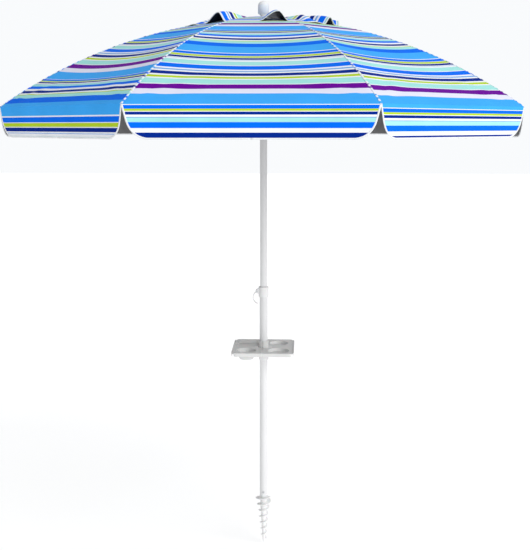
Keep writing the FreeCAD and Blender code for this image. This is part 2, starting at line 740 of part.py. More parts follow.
def rib_shape():
    """Bowed rod with a crimped eye at the crown, a strut lug and a moulded tip."""
    rod = size("rib_rod_radius")
    width, lug_width = size("eye_width"), size("lug_width")
    hinge = on_bow(0)
    tip_share = 1 - 4 / (BOW_RADIUS * (BOW_START - BOW_END))
    heading = Vector(math.sin(BOW_START), 0, -math.cos(BOW_START))
    section = Part.Face(Part.Wire(Part.makeCircle(rod, hinge, heading)))
    sweep = math.degrees(BOW_START - BOW_END) * tip_share
    bar = section.revolve(BOW_CENTRE, Vector(0, 1, 0), sweep)
    eye = pin_across(size("eye_radius"), hinge, width / 2)
    lug_round = pin_across(size("lug_radius"), LUG, lug_width / 2)
    along = (on_bow(size("lug_share") + 0.01) - on_bow(size("lug_share"))).normalize()
    up = (on_bow(size("lug_share")) - LUG).normalize()
    reach = size("lug_radius")
    plate = Part.Face(Part.makePolygon([
        LUG - along * reach, LUG + along * reach, LUG + along * (reach + 2) + up * size("lug_drop"),
        LUG - along * (reach + 2) + up * size("lug_drop"), LUG - along * reach,
    ])).translated(Vector(0, -lug_width / 2, 0)).extrude(Vector(0, lug_width, 0))
    body = bar.fuse([eye, lug_round, plate])
    body = body.cut([pin_across(size("ring_wire_radius") + size("running_gap"), hinge, width),
                     pin_across(size("rivet_radius") + size("running_gap"), LUG, width)])
    end = on_bow(1)
    outward = (end - on_bow(0.99)).normalize()
    cap = Part.makeCylinder(rod + 1, 18, end - outward * 18, outward).fuse(Part.makeSphere(rod + 1.4, end))
    socket = Part.makeCylinder(rod + size("running_gap"), 20, end - outward * 23.5, outward)
    return Part.makeCompound([body.removeSplitter(), cap.cut(socket).removeSplitter()])


def strut_shape():
    """Flat strut with a fork and rivet at the rib's lug and a cross pin at the runner."""
    width, depth, rivet = size("strut_width"), size("strut_depth"), size("rivet_radius")
    along = (RUNNER_PIN - LUG).normalize()
    across = Vector(0, 1, 0).cross(along)
    start = 12

    def bar(first, last, half_depth, inner, outer):
        corners = [first + across * half_depth, last + across * half_depth,
                   last - across * half_depth, first - across * half_depth]
        face = Part.Face(Part.makePolygon(corners + corners[:1]))
        return face.translated(Vector(0, inner, 0)).extrude(Vector(0, outer - inner, 0))

    cheek_in, cheek_out = size("lug_width") / 2 + 0.2, size("lug_width") / 2 + 1.4
    pieces = [pin_across(size("strut_boss"), RUNNER_PIN, width / 2)]
    for side in (-1, 1):
        near, far = sorted((side * cheek_in, side * cheek_out))
        pieces.append(bar(LUG, LUG + along * (start + 6), size("lug_radius") - 0.6, near, far))
        pieces.append(Part.makeCylinder(size("lug_radius") - 0.6, far - near, LUG + Vector(0, near, 0),
                                        Vector(0, 1, 0)))
    pieces.append(pin_across(rivet, RUNNER_PIN, 6))
    body = bar(LUG + along * start, RUNNER_PIN, depth / 2, -width / 2, width / 2).fuse(pieces)
    body = body.cut(pin_across(rivet, LUG, width))
    pin = pin_across(rivet, LUG, cheek_out + 0.7)
    heads = pin_across(rivet + 1.1, LUG, cheek_out + 0.7).cut(pin_across(rivet + 2, LUG, cheek_out))
    return Part.makeCompound([body.removeSplitter(), pin.fuse(heads).removeSplitter()])


# ---------------------------------------------------------------- fabric

def wedge(side):
    """Upright prism over half a gore, from its middle to the rib on one side."""
    gap = size("sector_gap")
    reach = 1.2 * size("fabric_corner")
    edge = reach * math.tan(math.radians(HALF_GORE))
    corners = [Vector(0, side * gap, 0), Vector(reach, side * gap, 0), Vector(reach, side * edge, 0),
               Vector(0, side * gap, 0)]
    prism = Part.Face(Part.makePolygon(corners))
    if prism.normalAt(0, 0).z < 0:
        prism.reverse()
    return prism.extrude(Vector(0, 0, 3 * size("crown_height") / 2))


def half_gore(lower, upper, side):
    """Half a gore between two curves of its middle, turned so that its rib lies along +X."""
    face = Part.Face(Part.Wire([
        lower.toShape(), Part.LineSegment(lower.EndPoint, upper.EndPoint).toShape(),
        upper.toShape(), Part.LineSegment(upper.StartPoint, lower.StartPoint).toShape(),
    ]))
    half = 0.5 * size("fabric_corner")
    slab = face.translated(Vector(0, -half, 0)).extrude(Vector(0, 2 * half, 0))
    return slab.common(wedge(side)).rotated(Vector(), Vector(0, 0, 1), -side * HALF_GORE)


def middle_curve(points):
    """Smooth curve through points of the rib's plane, seen in the gore's middle."""
    curve = Part.BSplineCurve()
    curve.interpolate([Vector(p.x * SQUEEZE, 0, p.z) for p in points])
    return curve


def canopy_shape():
    """Main cloth from the vent opening to the rim, and the vent cap's cloth over the opening."""
    lift, thick = size("fabric_lift"), size("fabric_thickness")
    steps = 8
    first, last = bow_share(size("vent_opening")), bow_share(size("fabric_corner"))
    shares = [first + (last - first) * step / steps for step in range(steps + 1)]
    lower = middle_curve([on_bow(s, lift) for s in shares])
    upper = middle_curve([on_bow(s, lift + thick) for s in shares])
    cap_height = size("hub_top") + size("cap_thickness") + 0.3
    rest = lift + thick + size("vent_cap_lift")

    def cap_points(raised):
        outer = [bow_share(size("vent_cap_radius") * share) for share in (0.75, 1)]
        points = [Vector(orbit, 0, cap_height + raised) for orbit in (8, 34)]
        points += [on_bow(outer[0], rest + raised + 1), on_bow(outer[1], rest + raised)]
        return points

    cap_lower, cap_upper = middle_curve(cap_points(0)), middle_curve(cap_points(thick))
    sheets = []
    for under, over in ((lower, upper), (cap_lower, cap_upper)):
        halves = [half_gore(under, over, side) for side in (-1, 1)]
        sheets.append(halves[0].fuse(halves[1]).removeSplitter())
    return Part.makeCompound([s for sheet_shape in sheets for s in sheet_shape.Solids])


def valance_shape():
    """Two half flaps that hang from the rim either side of a rib, cut away at the corner."""
    corner, drop = size("fabric_corner"), size("valance_drop")
    thick = size("fabric_thickness")
    middle = corner * math.sin(math.radians(HALF_GORE))
    wall = corner * SQUEEZE
    top = on_bow(bow_share(corner), size("fabric_lift")).z - 0.6
    flaps = []
    for side in (-1, 1):
        def spot(along, down):
            return Vector(wall - thick, side * (along - middle), top - down)

        inner = middle - size("sector_gap")
        edges = [
            Part.LineSegment(spot(3, 0), spot(14, 0.45 * drop)).toShape(),
            Part.BezierCurve(),
            Part.LineSegment(spot(74, drop), spot(inner, drop)).toShape(),
            Part.LineSegment(spot(inner, drop), spot(inner, 0)).toShape(),
            Part.LineSegment(spot(inner, 0), spot(3, 0)).toShape(),
        ]
        edges[1].setPoles([spot(14, 0.45 * drop), spot(27, 0.95 * drop), spot(74, drop)])
        edges[1] = edges[1].toShape()
        face = Part.Face(Part.Wire(edges))
        flap = face.extrude(Vector(thick, 0, 0))
        flaps.append(flap.rotated(Vector(), Vector(0, 0, 1), side * HALF_GORE))
    return Part.makeCompound(flaps)


def canopy_set():
    """Ribs, struts and cloth, once for each rib."""
    rib, strut, canopy, valance = rib_shape(), strut_shape(), canopy_shape(), valance_shape()
    for number in range(1, RIBS + 1):
        turn = HALF_GORE + 2 * HALF_GORE * (number - 1)
        feature(f"rib_{number}", rib, turn)
        feature(f"strut_{number}", strut, turn)
        feature(f"canopy_{number}", canopy, turn)
        feature(f"valance_{number}", valance, turn)


# ---------------------------------------------------------------- build, check and write

for make in (lower_pole, upper_pole, auger, auger_screw, clamp_collar, clamp_lever, clamp_pin, tray,
             tray_collar, tilt_fork, tilt_tongue, tilt_pin, tilt_button, top_tube, crown_hub, crown_ring,
             crown_cap, finial, runner, runner_catch, canopy_set):
    make()
doc.recompute()

for obj in doc.Objects:
    if {"Invalid", "Error"} & set(obj.State):
        raise RuntimeError(f"{obj.Name} ({obj.Label}) failed: {obj.State}")
for obj in sub_parts:
    if obj.Shape.isNull() or not obj.Shape.isValid() or obj.Shape.Volume <= 0:
        raise RuntimeError(f"{obj.Label} has no valid shape")

os.makedirs("parts", exist_ok=True)
for obj in sub_parts:
    obj.Shape.exportStep(f"parts/{obj.Label}.step")
    box_of = obj.Shape.BoundBox
    print(f"{obj.Label:16s} solids {len(obj.Shape.Solids)} volume {obj.Shape.Volume:12.1f} "
          f"z {box_of.ZMin:8.1f} {box_of.ZMax:8.1f} reach {max(box_of.XMax, -box_of.XMin):7.1f}")
print(len(sub_parts), "sub-parts; strut lug at", LUG, "runner pin at", RUNNER_PIN)
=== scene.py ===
"""Beach umbrella: striped vented canopy, white telescoping pole, snack tray and sand auger.

The poles, ribs, struts and mouldings come from the frame and get their finishes here. The cloth, its
bindings and seams and the finial are made here. Metres throughout, +Z up the pole.
"""
import json
import math

import bmesh
import bpy
from mathutils import Matrix, Vector


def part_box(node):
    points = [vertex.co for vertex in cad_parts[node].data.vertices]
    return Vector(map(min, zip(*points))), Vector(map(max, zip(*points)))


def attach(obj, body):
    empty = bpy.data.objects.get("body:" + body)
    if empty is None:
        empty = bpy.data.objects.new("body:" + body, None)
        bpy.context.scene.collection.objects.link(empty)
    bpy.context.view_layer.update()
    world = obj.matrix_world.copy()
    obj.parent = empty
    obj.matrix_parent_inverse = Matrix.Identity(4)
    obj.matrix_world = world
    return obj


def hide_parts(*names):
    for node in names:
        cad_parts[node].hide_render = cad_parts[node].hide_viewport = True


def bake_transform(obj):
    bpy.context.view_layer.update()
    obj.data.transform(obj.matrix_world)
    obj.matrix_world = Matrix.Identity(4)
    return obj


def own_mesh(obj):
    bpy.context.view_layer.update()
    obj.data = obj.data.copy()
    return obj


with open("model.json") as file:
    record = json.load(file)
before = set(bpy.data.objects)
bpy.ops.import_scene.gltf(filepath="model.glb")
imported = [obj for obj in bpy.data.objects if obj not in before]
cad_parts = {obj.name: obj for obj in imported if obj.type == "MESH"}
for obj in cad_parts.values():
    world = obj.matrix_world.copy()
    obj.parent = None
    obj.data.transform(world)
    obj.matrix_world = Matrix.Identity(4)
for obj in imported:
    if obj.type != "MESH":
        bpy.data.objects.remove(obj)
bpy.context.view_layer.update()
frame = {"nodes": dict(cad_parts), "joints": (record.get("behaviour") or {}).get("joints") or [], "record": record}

# ---------------------------------------------------------------- the frame's dimensions

RIBS = 8
HALF_GORE = math.pi / RIBS
COS_HALF = math.cos(HALF_GORE)
SIN_HALF = math.sin(HALF_GORE)
TAN_HALF = math.tan(HALF_GORE)

JOINTS = {joint["name"]: joint for joint in frame["joints"]}
CROWN = Vector((math.hypot(*JOINTS["rib_fold_1"]["pos_m"][:2]), 0, JOINTS["rib_fold_1"]["pos_m"][2]))
RIM_ORBIT = math.hypot(*JOINTS["valance_hang_1"]["pos_m"][:2])
RIB_TIP = Vector((RIM_ORBIT - 0.010, 0, 1.800))
RIB_BOW = 0.070
RIM_APOTHEM = RIM_ORBIT * COS_HALF
VENT_ORBIT = 0.200
VALANCE_DROP = 0.100
CAP_ORBIT = 0.310
CAP_DISC = 0.034
CAP_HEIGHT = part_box("crown_cap")[1][2] + 0.0012

CLOTH_LIFT = 0.0046
CAP_LIFT = 0.0066
CLOTH_THICKNESS = 0.0007
MIDDLE_SAG = 0.014
HEM_WIDTH = 0.0048


def smooth(value):
    """Smooth step from 0 to 1."""
    value = min(max(value, 0.0), 1.0)
    return value * value * (3 - 2 * value)


def rib_azimuth(number):
    return HALF_GORE + 2 * HALF_GORE * (number - 1)


def turn_about_pole(angle):
    return Matrix.Rotation(angle, 4, "Z")


def bow_circle():
    """Centre and radius of the arc that a rib follows, in its own plane."""
    chord = RIB_TIP - CROWN
    radius = (chord.length_squared / 4 + RIB_BOW ** 2) / (2 * RIB_BOW)
    outward = Vector((-chord.z, 0, chord.x)).normalized()
    return (CROWN + RIB_TIP) / 2 - outward * (radius - RIB_BOW), radius


BOW_CENTRE, BOW_RADIUS = bow_circle()


def bow_height(orbit, lift):
    """Height of a surface that lies a lift above the rib's line."""
    reach = BOW_RADIUS + lift
    return BOW_CENTRE.z + math.sqrt(reach ** 2 - (orbit - BOW_CENTRE.x) ** 2)


def cloth_length(apothem):
    """Length of cloth along a gore's middle from the rim up to a distance from the pole."""
    steps = 24
    total, last = 0.0, None
    for step in range(steps + 1):
        d = RIM_APOTHEM + (apothem - RIM_APOTHEM) * step / steps
        spot = Vector((d, bow_height(d / COS_HALF, CLOTH_LIFT)))
        total += (spot - last).length if last else 0.0
        last = spot
    return total


# ---------------------------------------------------------------- the stripes

COLOURS = {
    "white": (0.88, 0.90, 0.95),
    "lavender": (0.80, 0.80, 0.95),
    "sky": (0.050, 0.41, 0.97),
    "royal": (0.0, 0.155, 0.90),
    "navy": (0.0, 0.022, 0.26),
    "purple": (0.150, 0.0, 0.31),
    "lime": (0.48, 0.66, 0.028),
    "mint": (0.38, 0.79, 0.76),
    "steel_blue": (0.20, 0.40, 0.78),
}

# One repeat of the woven stripes, from its lowest edge up: colour and upper edge in millimetres.
STRIPES = (
    ("sky", 50), ("lavender", 79), ("purple", 108), ("white", 111), ("mint", 141), ("white", 147),
    ("lime", 162), ("white", 170), ("navy", 190), ("white", 197), ("steel_blue", 207), ("white", 216),
    ("royal", 241), ("white", 245), ("mint", 272), ("white", 279), ("steel_blue", 282), ("white", 286),
    ("navy", 299), ("white", 303), ("lime", 314), ("white", 317), ("royal", 334), ("white", 339),
    ("sky", 392), ("royal", 422), ("mint", 441), ("lime", 447), ("white", 454), ("navy", 470), ("white", 482),
    ("royal", 499), ("mint", 513), ("steel_blue", 516), ("white", 521), ("navy", 530), ("white", 531.5),
    ("lime", 538.5), ("white", 540), ("royal", 549), ("white", 553),
)
REPEAT = STRIPES[-1][1] / 1000

# Whole repeats added before the fraction is taken, so that it never falls below zero.
REPEATS_BELOW = 4.0

# Where the repeat starts on each gore, in metres below the rim; gore 6 faces the front.
GORE_PHASES = (0.215, 0.120, 0.395, 0.030, 0.290, 0.374, 0.002, 0.012)
VALANCE_PHASES = (0.215, 0.120, 0.395, 0.030, 0.290, 0.371, 0.002, 0.012)
CAP_PHASES = (0.254, 0.262, 0.248, 0.259, 0.266, 0.252, 0.262, 0.256)

# Puffs in the vent cap on each gore: place across it, half widths towards its right and its left,
# height, and how much of that height is left at the edge.
CAP_PUFFS = (
    ((-0.35, 0.42, 0.42, 0.024, 1.0), (0.62, 0.25, 0.25, 0.014, 0.4)),
    ((0.15, 0.35, 0.55, 0.028, 1.0),),
    ((-0.50, 0.36, 0.30, 0.026, 1.0), (0.40, 0.40, 0.40, 0.018, 0.2)),
    ((0.30, 0.30, 0.60, 0.030, 1.0),),
    ((-0.10, 0.45, 0.45, 0.022, 0.7),),
    ((0.60, 0.32, 0.62, 0.034, 1.0), (-0.62, 0.28, 0.28, 0.012, 0.3)),
    ((0.54, 0.30, 0.58, 0.034, 1.0),),
    ((0.58, 0.22, 0.24, 0.026, 1.0), (-0.02, 0.34, 0.42, 0.026, 0.15)),
)


# ---------------------------------------------------------------- materials

# Spacings in metres of threads and stitches, and of the dashes that the turned-under stripes leave
# in a seam: the share of a dash after which it is white, and how far the stripes slip in the seam.
CLOTH_THREAD = 0.0009
TAPE_THREAD = 0.0007
TAPE_STITCH = 0.0035
SEAM_STITCH = 0.004
SEAM_DASH = 0.019
SEAM_WHITE_FROM = 0.48
SEAM_SLIP = 0.006

TAPE_WHITE = (0.86, 0.87, 0.89, 1)
TAPE_STITCHED = (0.66, 0.67, 0.70, 1)
SEAM_WHITE = (0.84, 0.87, 0.93, 1)
FLOOR_GLOW = 0.42

class Nodes:
    """Short way to write a node material."""

    def __init__(self, name):
        self.material = bpy.data.materials.new(name)
        self.material.use_nodes = True
        self.tree = self.material.node_tree
        self.shader = self.tree.nodes["Principled BSDF"]

    def add(self, kind, **inputs):
        node = self.tree.nodes.new(kind)
        for key, value in inputs.items():
            self.put(value, node.inputs[key.replace("_", " ")])
        return node

    def put(self, value, socket):
        if isinstance(value, bpy.types.NodeSocket):
            self.tree.links.new(value, socket)
        else:
            socket.default_value = value

    def math(self, operation, first, second=0.0, third=0.0):
        node = self.tree.nodes.new("ShaderNodeMath")
        node.operation = operation
        for value, socket in zip((first, second, third), node.inputs):
            self.put(value, socket)
        return node.outputs[0]

    def mix(self, share, first, second, blend="MIX"):
        """Mix of two colours, which are a mix node's inputs 6 and 7 and its output 2."""
        node = self.tree.nodes.new("ShaderNodeMix")
        node.data_type = "RGBA"
        node.blend_type = blend
        for value, index in ((share, 0), (first, 6), (second, 7)):
            self.put(value, node.inputs[index])
        return node.outputs[2]

    def noise(self, scale, detail=3.0, vector=None):
        node = self.add("ShaderNodeTexNoise", Scale=scale, Detail=detail)
        if vector is None:
            vector = self.add("ShaderNodeTexCoord").outputs["Object"]
        self.put(vector, node.inputs["Vector"])
        return node.outputs["Fac"]

    def ramp(self, value, stops, constant=False):
        node = self.tree.nodes.new("ShaderNodeValToRGB")
        node.color_ramp.interpolation = "CONSTANT" if constant else "LINEAR"
        elements = node.color_ramp.elements
        while len(elements) < len(stops):
            elements.new(1.0)
        for element, (place, colour) in zip(elements, stops):
            element.position = place
            element.color = (*colour, 1)
        self.put(value, node.inputs["Fac"])
        return node.outputs["Color"]

    def wave(self, place, spacing):
        """Sine along a place in metres, one turn to each spacing."""
        return self.math("SINE", self.math("MULTIPLY", place, 2 * math.pi / spacing))

    def uneven(self, noise, span, least):
        """Roughness that a noise varies over a span above its least value."""
        return self.math("MULTIPLY_ADD", noise, span, least)

    def bump(self, height, strength, distance):
        node = self.add("ShaderNodeBump", Height=height, Strength=strength, Distance=distance)
        self.put(node.outputs["Normal"], self.shader.inputs["Normal"])

    def set(self, **inputs):
        for key, value in inputs.items():
            self.put(value, self.shader.inputs[key.replace("_", " ")])
        return self.material


def cloth_coordinates(nodes):
    """Metres across the cloth and up it, from the cloth's own map."""
    uv = nodes.tree.nodes.new("ShaderNodeUVMap")
    uv.uv_map = "cloth"
    split = nodes.add("ShaderNodeSeparateXYZ", Vector=uv.outputs["UV"])
    return uv.outputs["UV"], split.outputs["X"], split.outputs["Y"]


def weave(nodes, across, along, thread=CLOTH_THREAD):
    """Height of a plain weave, from the cloth's own map."""
    return nodes.math("MULTIPLY", nodes.wave(across, thread), nodes.wave(along, thread))


def stripe_colour(nodes, along):
    """Colour of the woven stripes; two ramps, because one holds at most 32 colours."""
    share = nodes.math("FRACT", nodes.math("ADD", nodes.math("DIVIDE", along, REPEAT), REPEATS_BELOW))
    half = len(STRIPES) // 2
    places = [0.0] + [edge / 1000 / REPEAT for _, edge in STRIPES]
    ramps = []
    for part in (range(half), range(half, len(STRIPES))):
        stops = [(places[i], COLOURS[STRIPES[i][0]]) for i in part]
        ramps.append(nodes.ramp(share, stops, constant=True))
    upper = nodes.math("GREATER_THAN", share, places[half])
    return nodes.mix(upper, ramps[0], ramps[1])


def faded(nodes, colour, amount, scale, vector=None):
    """Colour with faint broad unevenness."""
    cloud = nodes.noise(scale, 4.0, vector)
    shade = nodes.ramp(cloud, [(0.3, (1 - amount,) * 3), (0.7, (1.0, 1.0, 1.0))])
    return nodes.mix(1.0, colour, shade, blend="MULTIPLY")


def striped_cloth():
    """Outside of the cloth: woven stripes, a little sun-faded."""
    nodes = Nodes("canopy_cloth")
    uv, across, along = cloth_coordinates(nodes)
    colour = faded(nodes, stripe_colour(nodes, along), 0.07, 9.0, uv)
    rough = nodes.uneven(nodes.noise(40.0, vector=uv), 0.18, 0.52)
    nodes.bump(weave(nodes, across, along), 0.25, 0.00015)
    return nodes.set(Base_Color=colour, Roughness=rough, Specular_IOR_Level=0.04)


def coated_cloth(name, colour):
    """Inside of the cloth: a rubbed metallic coating in the colour given; the vent cap's is near black, painted
    shade.
    """
    nodes = Nodes(name)
    uv, across, along = cloth_coordinates(nodes)
    mottled = faded(nodes, (*colour, 1), 0.22, 22.0, uv)
    rough = nodes.uneven(nodes.noise(60.0, vector=uv), 0.2, 0.42)
    nodes.bump(weave(nodes, across, along), 0.3, 0.00015)
    return nodes.set(Base_Color=mottled, Roughness=rough, Metallic=0.15)


def binding_tape():
    """White woven tape with a row of grey stitches."""
    nodes = Nodes("binding_tape")
    _, across, along = cloth_coordinates(nodes)
    stitch = nodes.wave(across, TAPE_STITCH)
    ribbed = nodes.math("ADD", weave(nodes, across, along, TAPE_THREAD), stitch)
    stitched = nodes.math("GREATER_THAN", stitch, 0.86)
    colour = nodes.mix(stitched, TAPE_WHITE, TAPE_STITCHED)
    nodes.bump(ribbed, 0.35, 0.0002)
    return nodes.set(Base_Color=colour, Roughness=0.7, Sheen_Weight=0.1)


def seam_tape():
    """Felled seam along a rib: white, broken by the stripes turned under it."""
    nodes = Nodes("seam_tape")
    _, across, along = cloth_coordinates(nodes)
    stripes = stripe_colour(nodes, nodes.math("ADD", along, SEAM_SLIP))
    above_zero = nodes.math("ADD", along, 3.0)
    dash = nodes.math("FRACT", nodes.math("DIVIDE", above_zero, SEAM_DASH))
    white = nodes.math("GREATER_THAN", dash, SEAM_WHITE_FROM)
    colour = nodes.mix(white, stripes, SEAM_WHITE)
    stitch = nodes.wave(along, SEAM_STITCH)
    nodes.bump(nodes.math("ADD", stitch, weave(nodes, across, along)), 0.4, 0.0002)
    return nodes.set(Base_Color=colour, Roughness=0.62, Sheen_Weight=0.1)


def powder_coat(name, colour):
    """Sprayed and baked coat: fine orange peel, a little darker where hands rub."""
    nodes = Nodes(name)
    peel = nodes.noise(900.0, 2.0)
    rub = faded(nodes, (*colour, 1), 0.05, 5.0)
    rough = nodes.uneven(nodes.noise(14.0, 4.0), 0.16, 0.26)
    nodes.bump(peel, 0.12, 0.0002)
    return nodes.set(Base_Color=rub, Roughness=rough, Coat_Weight=0.25, Coat_Roughness=0.25)


def moulded(name, colour, roughness=0.42, grain=1400.0):
    """Injection moulding with a fine spark-eroded grain."""
    nodes = Nodes(name)
    rub = faded(nodes, (*colour, 1), 0.04, 16.0)
    rough = nodes.uneven(nodes.noise(35.0), 0.14, roughness - 0.07)
    nodes.bump(nodes.noise(grain, 2.0), 0.18, 0.00012)
    return nodes.set(Base_Color=rub, Roughness=rough, Subsurface_Weight=0.04, Subsurface_Scale=0.004)


def plated(name, colour):
    """Zinc-plated steel with faint drawing lines and dull patches."""
    nodes = Nodes(name)
    place = nodes.add("ShaderNodeTexCoord").outputs["Object"]
    stretched = nodes.add("ShaderNodeMapping", Vector=place, Scale=(1.0, 1.0, 0.04)).outputs["Vector"]
    lines = nodes.noise(1600.0, 2.0, stretched)
    rough = nodes.uneven(nodes.noise(55.0, 4.0), 0.22, 0.22)
    nodes.bump(lines, 0.15, 0.00008)
    return nodes.set(Base_Color=faded(nodes, (*colour, 1), 0.15, 40.0), Roughness=rough, Metallic=1.0)


def floor_finish():
    """White sweep that glows enough to meet the background evenly."""
    nodes = Nodes("floor")
    colour = faded(nodes, (0.80, 0.80, 0.80, 1), 0.012, 1.5)
    return nodes.set(Base_Color=colour, Roughness=0.9, Specular_IOR_Level=0.1,
                     Emission_Color=(1, 1, 1, 1), Emission_Strength=FLOOR_GLOW)


CLOTH = striped_cloth()
CLOTH_INSIDE = coated_cloth("cloth_inside", (0.20, 0.20, 0.205))
# Near black: painted shade under the vent cap, whose coating is grey like the main cloth's inside.
CAP_INSIDE_PAINTED_SHADE = coated_cloth("vent_cap_inside_painted_shade", (0.035, 0.042, 0.06))
TAPE = binding_tape()
SEAM = seam_tape()

FINISHES = {
    "powder_coat": powder_coat("powder_coat", (0.76, 0.76, 0.765)),
    "white_plastic": moulded("white_plastic", (0.82, 0.82, 0.82)),
    # Greyer than the other white mouldings: painted shade for the deck, which lies darker under the canopy.
    "tray_plastic": moulded("tray_plastic", (0.72, 0.72, 0.71), 0.38, 1100.0),
    "inner_plastic": moulded("inner_plastic", (0.80, 0.80, 0.81), 0.5),
    "button_plastic": moulded("button_plastic", (0.02, 0.02, 0.022), 0.4),
    "steel": plated("steel", (0.62, 0.63, 0.65)),
    "rib_paint": powder_coat("rib_paint", (0.78, 0.79, 0.80)),
    "canopy_cloth": CLOTH,
}


def finish_frame():
    """Gives every carried-over part the finish of its slot."""
    slots = {row["node"]: row["material_slot"] for row in frame["record"]["subparts"]}
    for name, node in frame["nodes"].items():
        node.data.materials.clear()
        node.data.materials.append(FINISHES[slots[name]])


# ---------------------------------------------------------------- making pieces

def piece(name, surface, materials, body):
    """Object from a bmesh, riding on a body where one is named."""
    mesh = bpy.data.meshes.new(name)
    surface.normal_update()
    surface.to_mesh(mesh)
    surface.free()
    for material in materials:
        mesh.materials.append(material)
    obj = bpy.data.objects.new(name, mesh)
    bpy.context.scene.collection.objects.link(obj)
    if body:
        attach(obj, body)
    return obj


def thicken(obj, thickness):
    """Gives a cloth its thickness, with the inside's material on its second slot."""
    modifier = obj.modifiers.new("thickness", "SOLIDIFY")
    modifier.thickness = thickness
    modifier.offset = 0
    modifier.material_offset = 1
    modifier.use_rim = True
    return obj


def grid(rows, columns, spot, mapped):
    """Smooth surface over rows and columns.

    spot and mapped take the shares of the rows and of the columns from 0 to 1, and mapped also
    takes the share across at the middle of the face.
    """
    surface = bmesh.new()
    layer = surface.loops.layers.uv.new("cloth")
    lattice = [[surface.verts.new(spot(i / rows, j / columns)) for j in range(columns + 1)]
               for i in range(rows + 1)]
    for i in range(rows):
        for j in range(columns):
            corners = ((i, j), (i, j + 1), (i + 1, j + 1), (i + 1, j))
            face = surface.faces.new([lattice[a][b] for a, b in corners])
            face.smooth = True
            middle = (j + 0.5) / columns
            for loop, (a, b) in zip(face.loops, corners):
                loop[layer].uv = mapped(a / rows, b / columns, middle)
    return surface


def sharpen_rim(surface):
    """Keeps a cloth's cut edge from bending the shading of its face."""
    for edge in surface.edges:
        edge.smooth = not edge.is_boundary


def gore_of(number, side):
    """Gore on one side of a rib; gore 0 is centred on +X."""
    return (number - 1 + (1 if side > 0 else 0)) % RIBS


# ---------------------------------------------------------------- main canopy

CREASE_HEIGHT = 0.0013
CREASES = 11
CREASE_FAN = 1.1
CANOPY_ROWS = 72
CANOPY_COLUMNS = 40

# Metres of cloth up from the rim where a gore's sag starts and ends, and over which it comes and goes.
SAG_START, SAG_COMES = 0.03, 0.20
SAG_END, SAG_GOES = 0.66, 0.30

# The same for the pull creases, by distance from the rib's tip, and the angles they fan in and out over.
CREASE_START, CREASE_COMES = 0.02, 0.06
CREASE_END, CREASE_GOES = 0.12, 0.22
FAN_IN, FAN_OUT = 0.25, 0.3


def creases(down, out):
    """Height of the pull creases that fan into a gore from the rib's tip."""
    reach = math.hypot(down, out)
    fan = math.atan2(down, out)
    window = smooth((reach - CREASE_START) / CREASE_COMES)
    window *= 1 - smooth((reach - CREASE_END) / CREASE_GOES)
    inside_fan = smooth(fan / FAN_IN) * smooth((CREASE_FAN - fan) / FAN_OUT)
    return CREASE_HEIGHT * window * math.sin(CREASES * fan) * inside_fan


def canopy_spot(share_up, across):
    """Point of the main cloth beside a rib that lies along +X; across runs from -1 to 1."""
    apothem = RIM_APOTHEM + (VENT_ORBIT * COS_HALF - RIM_APOTHEM) * share_up
    side, reach = (-1 if across < 0 else 1), abs(across)
    along_rib = Vector((apothem / COS_HALF, 0))
    middle = Vector((apothem * COS_HALF, apothem * SIN_HALF))
    flat = along_rib.lerp(middle, reach)
    up_cloth = cloth_length(apothem)
    window = smooth((up_cloth - SAG_START) / SAG_COMES) * smooth((SAG_END - up_cloth) / SAG_GOES)
    sag = MIDDLE_SAG * (2 * reach - reach ** 2) * window
    crease = creases(up_cloth, (flat - along_rib).length)
    height = bow_height(apothem / COS_HALF, CLOTH_LIFT) - sag + crease
    return Vector((flat.x, side * flat.y, height))


def canopy_surface(number):
    """Main cloth from gore middle to gore middle, with its stripes mapped."""
    lengths = {}

    def mapped(share_up, across, middle):
        apothem = RIM_APOTHEM + (VENT_ORBIT * COS_HALF - RIM_APOTHEM) * share_up
        if share_up not in lengths:
            lengths[share_up] = cloth_length(apothem)
        side = -1 if middle < 0.5 else 1
        width = apothem * TAN_HALF * (1 - abs(2 * across - 1))
        return width, lengths[share_up] + GORE_PHASES[gore_of(number, side)]

    return grid(CANOPY_ROWS, CANOPY_COLUMNS, lambda up, across: canopy_spot(up, 2 * across - 1), mapped)


def main_canopy(number):
    """Main cloth at one rib, which meets its neighbours in the middle of each gore."""
    turn = turn_about_pole(rib_azimuth(number))
    cloth = canopy_surface(number)
    sharpen_rim(cloth)
    bmesh.ops.transform(cloth, matrix=turn, verts=cloth.verts)
    obj = piece(f"canopy_cloth_{number}", cloth, (CLOTH, CLOTH_INSIDE), f"rib_{number}")
    thicken(obj, CLOTH_THICKNESS)
    gather(obj)
    return obj


def gather(obj):
    """Gives a cloth its own copy of its mesh."""
    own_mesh(obj)


# ---------------------------------------------------------------- vent cap

CAP_HOLE = 0.008
CAP_SETTLE = 0.16
CAP_BEND = 0.075
CAP_COLUMNS = 48
CAP_CROWN_ROWS = 10
CAP_FLAP_ROWS = 30
CAP_HEM_STEPS = 72

# Distances from the pole where the puffs start, and where they close again towards the edge.
PUFF_START, PUFF_COMES = 0.09, CAP_ORBIT - 0.11
PUFF_CLOSES_FROM, PUFF_CLOSES_OVER = 0.22, 0.085
PUFF_ROUNDNESS = 0.85

# Two distances from the pole along the crown; vent_cap works out the points at them and does not use them.
CROWN_HELD = 0.018
CROWN_FREE = 0.050


def cap_height(orbit):
    """Vent cap along a rib: flat under the finial, then down onto the main cloth."""
    on_cloth = bow_height(max(orbit, CAP_DISC), CAP_LIFT)
    raised = CAP_HEIGHT - bow_height(CAP_DISC, CAP_LIFT)
    return on_cloth + raised * (1 - smooth((orbit - CAP_DISC) / CAP_SETTLE))


